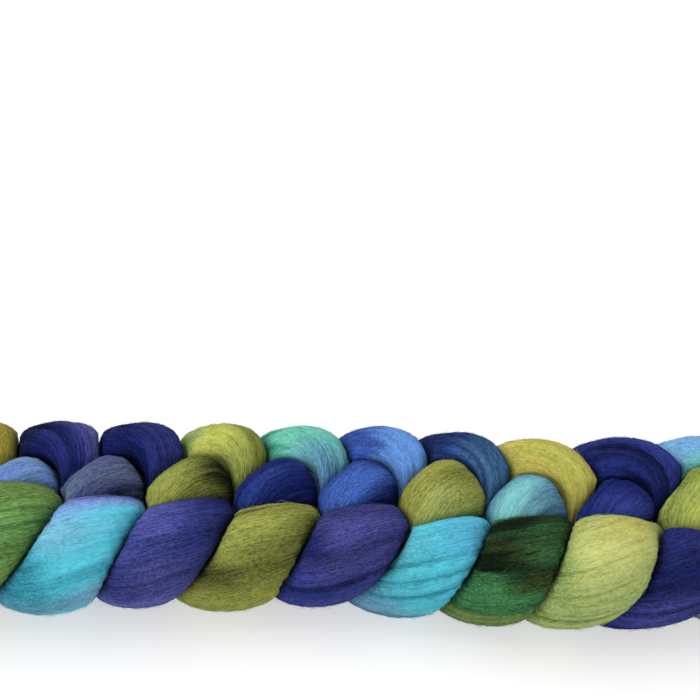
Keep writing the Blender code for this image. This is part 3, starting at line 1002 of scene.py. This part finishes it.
class Finish:
    """A node material under construction."""

    def __init__(self, name: str) -> None:
        """Start a material that holds one Principled shader.

        Args:
            name: the material's name.
        """
        self.material = bpy.data.materials.new(name)
        self.material.use_nodes = True
        self.tree = self.material.node_tree
        self.shader = self.tree.nodes["Principled BSDF"]

    def node(self, kind: str, settings: dict, sockets: dict) -> bpy.types.Node:
        """Add a node.

        Args:
            kind: the node's type.
            settings: the properties that are set first.
            sockets: a value, a reading or a socket for each input, by its identifier.

        Returns:
            The node.
        """
        node = self.tree.nodes.new(kind)
        for name, value in settings.items():
            setattr(node, name, value)
        by_identifier = {socket.identifier: socket for socket in node.inputs}
        for name, value in sockets.items():
            self.feed(by_identifier[name], value)
        return node

    def feed(self, socket: bpy.types.NodeSocket, value: object) -> None:
        """Link a reading or a socket to an input, or set its value.

        Args:
            socket: the input.
            value: a reading, a socket, or a plain value.
        """
        if isinstance(value, Reading):
            value = value.socket
        if isinstance(value, bpy.types.NodeSocket):
            self.tree.links.new(value, socket)
        else:
            socket.default_value = value

    def attribute(self, name: str) -> bpy.types.Node:
        """Add a node that reads one of the piece's own attributes."""
        return self.node("ShaderNodeAttribute", {"attribute_name": name}, {})

    def dress(self, sockets: dict) -> None:
        """Link or set the shader's own inputs, by their names."""
        for name, value in sockets.items():
            self.feed(self.shader.inputs[name], value)

    def fibres(
        self, laid: bpy.types.NodeSocket, length: float, width: float, detail: float
    ) -> Reading:
        """Add noise that is drawn out along the fibres.

        Args:
            laid: place on the straightened strand.
            length: length of a streak, in metres.
            width: width of a streak, in metres.
            detail: number of finer layers on it.

        Returns:
            The noise, between 0 and 1.
        """
        scale = (1.0 / length, 1.0 / width, 1.0 / width)
        scaled = self.node(
            "ShaderNodeVectorMath", {"operation": "MULTIPLY"}, {"Vector": laid, "Vector_001": scale}
        )
        noise = self.node(
            "ShaderNodeTexNoise", {}, {"Vector": scaled.outputs[0], "Scale": 1.0, "Detail": detail}
        )
        return Reading(self.tree, noise.outputs[0])

    def contrast(self, colour: bpy.types.NodeSocket) -> Reading:
        """Work out how strongly fibres stand out in a colour, as Glow.contrast does.

        Args:
            colour: the dye.

        Returns:
            The strength of the fibres' marks.
        """
        bright = self.node(
            "ShaderNodeVectorMath",
            {"operation": "DOT_PRODUCT"},
            {"Vector": colour, "Vector_001": GLOW.weights},
        )
        bright = Reading(self.tree, bright.outputs[1])
        contrast = GLOW.deep_contrast - bright * GLOW.contrast_fall
        return contrast.math("MAXIMUM", contrast, GLOW.least_contrast)

    def shaded(self, colour: bpy.types.NodeSocket, share: Reading) -> bpy.types.NodeSocket:
        """Multiply a colour by a number.

        Args:
            colour: the colour.
            share: the number.

        Returns:
            The product.
        """
        node = self.node(
            "ShaderNodeVectorMath", {"operation": "SCALE"}, {"Vector": colour, "Scale": share}
        )
        return node.outputs[0]

    def tinted(
        self, colour: bpy.types.NodeSocket, tint: tuple[float, ...], share: Reading
    ) -> bpy.types.NodeSocket:
        """Mix a tint into a colour.

        Args:
            colour: the colour.
            tint: red, green, blue and alpha of the tint.
            share: how much of the tint there is.

        Returns:
            The mixed colour.
        """
        node = self.node(
            "ShaderNodeMix",
            {"data_type": "RGBA"},
            {"Factor_Float": share, "A_Color": colour, "B_Color": tint},
        )
        return next(s for s in node.outputs if s.identifier == "Result_Color")


NOISE_MIDDLE = 0.5     # a noise's usual value


@dataclass(frozen=True)
class CombedWool:
    """The finish of the strand's skin: fine parallel fibres with a soft satin sheen."""

    # Length and width of each kind of mark, and the number of finer layers on it.
    streak: tuple = (0.030, 0.0014, 1.0)      # streaks of fibres
    fibre: tuple = (0.0140, 0.0008, 1.0)      # wisps in them
    fuzz: tuple = (0.0070, 0.0005, 0.0)       # crimped fuzz on top
    fine: tuple = (0.0010, 0.0005, 0.0)       # the finest crimp
    streak_shade: float = 0.45                # how much the streaks differ in depth of dye
    fibre_shade: float = 0.45                 # how much the wisps do
    fuzz_shade: float = 0.55                  # how much the fuzz does
    fine_shade: float = 1.15                  # how much the finest crimp does
    pale_tint: tuple = (0.42, 0.46, 0.50, 1.0)
    pale: float = 0.004                       # share of undyed fibre on the palest fuzz
    relief: float = 0.0005                    # height of the fibres' relief
    relief_strength: float = 0.65
    fibre_relief: float = 0.7                 # height of the wisps against the streaks
    fuzz_relief: float = 0.4                  # height of the fuzz against the streaks
    roughness: float = 0.75
    roughness_spread: float = 0.2
    sheen: float = 0.006
    sheen_roughness: float = 0.5
    specular: float = 0.04

    def material(self) -> bpy.types.Material:
        """Make the material."""
        finish = Finish("combed_wool")
        # The dye attribute carries the painted crease and parting shade and light along with the
        # dye.
        dye = finish.attribute("dye").outputs["Color"]
        laid = finish.attribute("laid").outputs["Vector"]
        streaks, fibres, fuzz, fine = (
            finish.fibres(laid, *mark) - NOISE_MIDDLE
            for mark in (self.streak, self.fibre, self.fuzz, self.fine)
        )
        contrast = finish.contrast(dye)
        tone = streaks * self.streak_shade + fibres * self.fibre_shade
        tone = tone + fuzz * self.fuzz_shade + fine * self.fine_shade
        tone = tone * contrast + 1.0
        pale = (fuzz + NOISE_MIDDLE) * (self.pale / NOISE_MIDDLE)
        colour = finish.tinted(dye, self.pale_tint, pale)
        height = streaks + fibres * self.fibre_relief + fuzz * self.fuzz_relief
        bump = finish.node(
            "ShaderNodeBump",
            {},
            {
                "Height": height * contrast,
                "Distance": self.relief,
                "Strength": self.relief_strength,
            },
        )
        finish.dress(
            {
                "Base Color": finish.shaded(colour, tone),
                "Roughness": fibres * self.roughness_spread + self.roughness,
                "Normal": bump.outputs[0],
                "Sheen Weight": self.sheen,
                "Sheen Roughness": self.sheen_roughness,
                "Specular IOR Level": self.specular,
            }
        )
        return finish.material


@dataclass(frozen=True)
class LooseFibre:
    """The finish of the stray fibres that stand on the skin."""

    mark: tuple = (0.004, 0.002, 1.0)     # length, width and finer layers of its marks
    darkest: float = 0.85                 # share of the dye where the marks are darkest
    mark_shade: float = 0.5               # how much the marks differ in depth of dye
    roughness: float = 0.65
    roughness_spread: float = 0.2
    specular: float = 0.05

    def material(self) -> bpy.types.Material:
        """Make the material."""
        finish = Finish("loose_fibre")
        # The dye attribute carries the skin's painted shade and light along with the dye.
        dye = finish.attribute("dye").outputs["Color"]
        laid = finish.attribute("laid").outputs["Vector"]
        tone = finish.fibres(laid, *self.mark)
        finish.dress(
            {
                "Base Color": finish.shaded(dye, tone * self.mark_shade + self.darkest),
                "Roughness": tone * self.roughness_spread + self.roughness,
                "Specular IOR Level": self.specular,
            }
        )
        return finish.material


# -------------------------------------------------------------------------------- pieces
def put_in_scene(
    name: str,
    points: np.ndarray,
    faces: np.ndarray,
    colour: np.ndarray,
    laid: np.ndarray,
    material: bpy.types.Material,
) -> bpy.types.Object:
    """Make a piece from arrays and let it stand for the braid's solid.

    Args:
        name: the piece's name.
        points: one row of x, y, z for each point.
        faces: one row of point numbers for each face, all of one size.
        colour: each point's scene-linear colour.
        laid: each point's place on the straightened strand.
        material: the piece's finish.

    Returns:
        The piece.
    """
    mesh = bpy.data.meshes.new(name)
    corners = faces.shape[1]
    mesh.vertices.add(len(points))
    mesh.vertices.foreach_set("co", points.astype(np.float32).ravel())
    mesh.loops.add(faces.size)
    mesh.loops.foreach_set("vertex_index", faces.astype(np.int32).ravel())
    mesh.polygons.add(len(faces))
    mesh.polygons.foreach_set("loop_start", np.arange(0, faces.size, corners, dtype=np.int32))
    mesh.update(calc_edges=True)
    mesh.validate()
    # The dye attribute holds the dye with the skin's painted shade and light.
    dye = mesh.attributes.new("dye", "FLOAT_COLOR", "POINT")
    opaque = np.column_stack([colour, np.ones(len(colour))])
    dye.data.foreach_set("color", opaque.astype(np.float32).ravel())
    place = mesh.attributes.new("laid", "FLOAT_VECTOR", "POINT")
    place.data.foreach_set("vector", laid.astype(np.float32).ravel())
    mesh.shade_smooth()
    mesh.materials.append(material)
    piece = bpy.data.objects.new(name, mesh)
    bpy.context.scene.collection.objects.link(piece)
    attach(piece, "root")
    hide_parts("braid")
    LOG.info("%s: %d points, %d faces", name, len(points), len(faces))
    return piece


@dataclass
class Skin:
    """The strand's skin, in lengths that meet where the strand is hidden."""

    strand: Strand
    locks: Locks
    dyeing_and_painted_shade: DyeingAndPaintedShade
    finish: CombedWool
    joins: tuple = ((3, "under_middle"), (7, "under_middle"))   # where one length ends
    cap_rings: int = 4              # rings that draw a length's end together
    cap_shares: tuple = (0.97, 0.02)    # size of the first and last of them
    grid: Grid = field(init=False)
    colour: np.ndarray = field(init=False)
    laid: np.ndarray = field(init=False)

    def __post_init__(self) -> None:
        """Work out the whole skin, its colours and how its fibres run."""
        self.colour = self.dyeing_and_painted_shade.colours()
        relief = 1.0 - GLOW.pale_calm * GLOW.paleness(self.colour)
        self.grid = self.strand.surface(self.locks.height() * relief)
        around = 2 * math.pi * self.locks.turn
        along = np.broadcast_to(self.strand.arc[:, None], around.shape)
        across = self.strand.laid_radius * np.cos(around)
        deep = self.strand.laid_radius * np.sin(around)
        self.laid = np.stack([along, across, deep], axis=2)

    def build(self) -> list[bpy.types.Object]:
        """Build the lengths of the skin."""
        material = self.finish.material()
        marks = [self.strand.row_number(stitch, place) for stitch, place in self.joins]
        cuts = [0, *np.searchsorted(self.strand.row, marks), len(self.strand.arc) - 1]
        pieces = []
        for number, (first, last) in enumerate(zip(cuts, cuts[1:]), start=1):
            pieces.append(self.length(f"strand_length_{number}", slice(first, last + 1), material))
        return pieces

    def length(self, name: str, rings: slice, material: bpy.types.Material) -> bpy.types.Object:
        """Build one closed length of the skin.

        Rings of points are joined by quads in step, and each end closes in shrinking rings
        round its middle: the end ring's points move towards it by equal shares.

        Args:
            name: the piece's name.
            rings: the rings of the skin that it takes.
            material: its finish.

        Returns:
            The piece.
        """
        closed = [
            self.close_ends(values[rings]) for values in (self.grid.points, self.colour, self.laid)
        ]
        count, sides = closed[0].shape[:2]
        here = sides * np.arange(count - 1)[:, None]
        ahead = here + sides
        side = np.arange(sides)[None, :]
        beside = (side + 1) % sides
        quads = np.stack([here + side, here + beside, ahead + beside, ahead + side], -1)
        quads = quads.reshape(-1, 4)
        corner = np.arange(1, sides - 1)
        first_cap = np.stack([np.zeros_like(corner), corner + 1, corner], -1)
        last_cap = first_cap[:, ::-1] + sides * (count - 1)
        faces = np.concatenate([quads[:, [0, 1, 2]], quads[:, [0, 2, 3]], first_cap, last_cap])
        points, colour, laid = (values.reshape(-1, 3) for values in closed)
        return put_in_scene(name, points, faces, colour, laid, material)

    def close_ends(self, part: np.ndarray) -> np.ndarray:
        """Add the rings that draw the first and the last ring of a part together.

        Args:
            part: a field on the skin, ring by side by columns.

        Returns:
            The field with the added rings before and after it.
        """
        shares = np.linspace(*self.cap_shares, self.cap_rings)[:, None, None]
        start, end = (
            ring.mean(axis=0) + shares * (ring - ring.mean(axis=0)) for ring in (part[0], part[-1])
        )
        return np.concatenate([start[::-1], part, end])


@dataclass(frozen=True)
class Hairs:
    """One set of loose fibres: how many, how long, how far off the skin and how straight."""

    name: str
    count: int
    length: tuple[float, float]     # shortest and longest
    lift: float                     # usual height off the skin
    most_lift: float                # greatest height off the skin
    veer: float                     # how far one turns off the fibres below it, in radians
    knots: int                      # points along one
    half_width: float
    lighter: float                  # most that one is paler than the skin below it


@dataclass
class Nap:
    """The fibres that have come loose from the skin and stand a little off it."""

    strand: Strand
    skin: Skin
    finish: LooseFibre
    seed: int = 73
    shown: float = 0.90             # share filled above which the skin is open to the air
    clear_of_table: float = 0.004   # height over the table from which fibres stand
    root_depth: float = 0.00010     # how far a root sits inside the skin
    bow: float = 0.20               # how far one bends sideways, as a share of its length
    lift_curve: float = 1.5         # how late one rises off the skin
    thickness: tuple = (0.7, 1.3)   # how much they differ in thickness
    taper_start: float = 1.1        # share of the run in which one would thin away to nothing
    fullness: float = 1.4           # its thickness for each such share, in half widths
    depth: tuple = (-0.4, 0.5)      # how much they differ in depth of dye
    least_depth: float = -0.6       # the most that one is darker than the skin
    short_of_end: float = 1.001     # a place stays this far under the number of rings
    sets: tuple = (
        Hairs("nap_1", 31000, (0.003, 0.008), 0.00040, 0.0020, 0.45, 3, 0.000075, 0.10),
        Hairs("nap_2", 31000, (0.002, 0.006), 0.00060, 0.0022, 0.80, 3, 0.000065, 0.10),
        Hairs("stray_hairs", 260, (0.010, 0.022), 0.0009, 0.0030, 0.50, 8, 0.000045, 0.25),
    )

    def sample(self, values: np.ndarray, ring: np.ndarray, turn: np.ndarray) -> np.ndarray:
        """Read a field on the skin's grid between its points.

        The value is the mix of the four grid points round the place, by their nearness.

        Args:
            values: the field, ring by side by columns.
            ring: place along the strand, in rings.
            turn: place round the strand, in turns.

        Returns:
            One row of the field for each place.
        """
        rings, sides = values.shape[:2]
        ring = np.clip(ring, 0.0, rings - self.short_of_end)
        side = (turn % 1.0) * sides
        row, column = ring.astype(int), side.astype(int) % sides
        beside = (column + 1) % sides
        part_ring = (ring - row)[..., None]
        part_side = (side - np.floor(side))[..., None]
        near = values[row, column] * (1 - part_side) + values[row, beside] * part_side
        far = values[row + 1, column] * (1 - part_side) + values[row + 1, beside] * part_side
        return near * (1 - part_ring) + far * part_ring

    def grow(self, hairs: Hairs, material: bpy.types.Material, seed: int) -> bpy.types.Object:
        """Grow one set of fibres.

        A fibre's path is laid on the skin first: it sets out along the wound fibres, turned
        by its own veer, and bends sideways with the square of the run. Its knots then stand
        off the skin by a height that grows with the run. Three sides go round the path
        between two pointed ends.

        Args:
            hairs: the set's sizes.
            material: the fibres' finish.
            seed: what to add to the seed for this set.

        Returns:
            The piece.
        """
        rng = np.random.default_rng(self.seed + seed)
        grid, strand = self.skin.grid, self.strand
        rings, sides = strand.fill.shape
        open_air = (strand.fill > self.shown) & (grid.points[:, :, 2] > self.clear_of_table)
        weight = (open_air * strand.radius[:, None]).ravel()
        picks = rng.choice(rings * sides, size=hairs.count, p=weight / weight.sum())
        first, side = np.divmod(picks, sides)
        first = (first + rng.uniform(0.0, 1.0, hairs.count))[:, None]
        place = ((side + rng.uniform(0.0, 1.0, hairs.count)) / sides)[:, None]
        run = rng.uniform(*hairs.length, hairs.count)[:, None]
        veer = rng.normal(0.0, hairs.veer, hairs.count)[:, None]
        facing = rng.choice([-1.0, 1.0], hairs.count)[:, None]
        bow = rng.normal(0.0, self.bow, hairs.count)[:, None]
        share = np.linspace(0.0, 1.0, hairs.knots)[None, :]
        ring = first + facing * run * np.cos(veer) * share / strand.ring_gap
        numbers = np.arange(rings)
        wound = np.interp(ring, numbers, strand.twist) - np.interp(first, numbers, strand.twist)
        radius = np.interp(first, numbers, strand.radius)
        sideways = run * (np.sin(veer) * share + bow * share**2)
        turn = place + (wound + sideways / radius) / (2 * math.pi)
        lift = np.minimum(rng.exponential(hairs.lift, hairs.count), hairs.most_lift)[:, None]
        height = lift * share**self.lift_curve - self.root_depth * (1.0 - share)
        on_skin = self.sample(grid.points, ring, turn)
        normal = self.sample(grid.normals, ring, turn)
        path = on_skin + normal * height[:, :, None]
        path[:, :, 2] = np.maximum(path[:, :, 2], self.root_depth)
        heading = np.gradient(path, axis=1)
        heading /= np.maximum(np.linalg.norm(heading, axis=2, keepdims=True), NO_LENGTH)
        across = np.cross(heading, normal)
        thick = hairs.half_width * rng.uniform(*self.thickness, (hairs.count, 1))
        thick = thick * (self.taper_start - share) * self.fullness
        corner = np.arange(3) * 2 * math.pi / 3
        inner = slice(1, hairs.knots - 1)
        hoops = path[:, inner, None] + thick[:, inner, None, None] * (
            np.cos(corner)[None, None, :, None] * across[:, inner, None]
            + np.sin(corner)[None, None, :, None] * normal[:, inner, None]
        )
        hoop_points = 3 * (hairs.knots - 2)
        points = np.concatenate(
            [path[:, :1], hoops.reshape(hairs.count, hoop_points, 3), path[:, -1:]], axis=1
        )
        faces = self.spindle(hairs.knots)
        starts = points.shape[1] * np.arange(hairs.count)[:, None, None]
        faces = (starts + faces[None]).reshape(-1, 3)
        # Each fibre takes the skin's colour below it, painted shade and light included.
        colour = self.sample(self.skin.colour, first[:, 0], place[:, 0])
        depth = rng.uniform(*self.depth, hairs.count) * GLOW.contrast(colour)
        depth = 1.0 + np.maximum(depth, self.least_depth)[:, None]
        paler = rng.uniform(0.0, hairs.lighter, hairs.count)[:, None]
        colour = colour * depth * (1.0 - paler) + paler * colour.max(axis=1, keepdims=True)
        colour = np.repeat(colour, points.shape[1], axis=0)
        laid = self.sample(self.skin.laid, first[:, 0], place[:, 0])
        laid = np.repeat(laid, points.shape[1], axis=0)
        return put_in_scene(hairs.name, points.reshape(-1, 3), faces, colour, laid, material)

    @staticmethod
    def spindle(knots: int) -> np.ndarray:
        """List the triangles of a fibre: a point, hoops of three points and a point.

        Args:
            knots: number of points along the fibre.

        Returns:
            One row of three point numbers for each triangle.
        """
        here = np.arange(3)
        there = (here + 1) % 3
        last = 3 * (knots - 2) + 1
        faces = [np.stack([np.zeros(3, int), 1 + there, 1 + here], -1)]
        for hoop in range(knots - 3):
            low = 1 + 3 * hoop
            faces.append(np.stack([low + here, low + there, low + 3 + there], -1))
            faces.append(np.stack([low + here, low + 3 + there, low + 3 + here], -1))
        low = last - 3
        faces.append(np.stack([low + here, low + there, np.full(3, last)], -1))
        return np.concatenate(faces)

    def build(self) -> list[bpy.types.Object]:
        """Build every set."""
        material = self.finish.material()
        return [self.grow(hairs, material, number) for number, hairs in enumerate(self.sets)]


@dataclass
class Studio:
    """A plain pale floor, soft light and the camera."""

    floor_size: float = 6.0
    floor_tone: float = 0.50
    floor_glow: float = 0.46                    # light of its own, for a paper lit all over
    floor_roughness: float = 0.9
    floor_specular: float = 0.1
    sky: float = 0.80                           # strength of the light from all sides
    lens: float = 41.14                         # focal length, in millimetres
    sensor: float = 36.0                        # sensor width, in millimetres
    nearest: float = 0.01                       # distance from which the camera sees
    eye: tuple = (-0.0038, -0.2510, 0.3466)     # where the camera stands
    view: tuple = (-0.0294, 0.7655, -0.6428)    # the direction in which it looks
    lamp_from: tuple = (-0.60, 0.34, 1.0)
    lamp_spread: float = 1.0                    # the lamps' angle, in radians
    lamp_power: float = 1.7
    fill_from: tuple = (-0.5, -1.0, 0.8)
    fill_power: float = 0.7

    def build(self) -> None:
        """Build the floor, the light and the camera."""
        self.lay_floor()
        self.light_sky()
        self.lamp("soft_box", self.lamp_from, self.lamp_power)
        self.lamp("soft_fill", self.fill_from, self.fill_power)
        self.set_camera()

    def lay_floor(self) -> None:
        """Lay the sheet of pale paper that the braid rests on."""
        half = self.floor_size / 2
        mesh = bpy.data.meshes.new("floor")
        mesh.from_pydata(
            [(-half, -half, 0.0), (half, -half, 0.0), (half, half, 0.0), (-half, half, 0.0)],
            [],
            [(0, 1, 2, 3)],
        )
        paper = Finish("pale_paper")
        paper.dress(
            {
                "Base Color": (self.floor_tone, self.floor_tone, self.floor_tone, 1.0),
                "Roughness": self.floor_roughness,
                "Specular IOR Level": self.floor_specular,
                "Emission Color": WHITE,
                "Emission Strength": self.floor_glow,
            }
        )
        mesh.materials.append(paper.material)
        floor = bpy.data.objects.new("floor", mesh)
        bpy.context.scene.collection.objects.link(floor)

    def light_sky(self) -> None:
        """Light the scene evenly from all sides."""
        world = bpy.data.worlds.new("soft_sky")
        world.use_nodes = True
        background = world.node_tree.nodes["Background"]
        background.inputs["Color"].default_value = WHITE
        background.inputs["Strength"].default_value = self.sky
        bpy.context.scene.world = world

    def set_camera(self) -> None:
        """Stand the camera where the braid fills the frame from side to side."""
        scene = bpy.context.scene
        camera = bpy.data.cameras.new("camera")
        camera.sensor_width = self.sensor
        camera.lens = self.lens
        camera.clip_start = self.nearest
        eye = bpy.data.objects.new("camera", camera)
        eye.location = self.eye
        eye.rotation_mode = "QUATERNION"
        eye.rotation_quaternion = Vector(self.view).to_track_quat("-Z", "Y")
        scene.collection.objects.link(eye)
        scene.camera = eye
        scene.view_settings.view_transform = "Standard"

    def lamp(self, name: str, come_from: tuple, power: float) -> None:
        """Add a soft lamp that shines from one direction onto the origin.

        Args:
            name: the lamp's name.
            come_from: the direction in which it stands.
            power: its strength.
        """
        lamp = bpy.data.lights.new(name, "SUN")
        lamp.angle = self.lamp_spread
        lamp.energy = power
        holder = bpy.data.objects.new(name, lamp)
        holder.rotation_mode = "QUATERNION"
        holder.rotation_quaternion = (-Vector(come_from)).to_track_quat("-Z", "Y")
        bpy.context.scene.collection.objects.link(holder)


def main() -> None:
    """Build the braid, its stray fibres and the studio."""
    logging.basicConfig(level=logging.INFO, format="%(name)s: %(message)s")
    studio = Studio()
    studio.build()
    strand = Strand()
    LOG.info("strand: %.2f m long, %d rings", strand.arc[-1], len(strand.arc))
    locks = Locks(strand)
    skin = Skin(strand, locks, DyeingAndPaintedShade(strand, locks), CombedWool())
    skin.build()
    Nap(strand, skin, LooseFibre()).build()


if __name__ == "__main__":
    main()
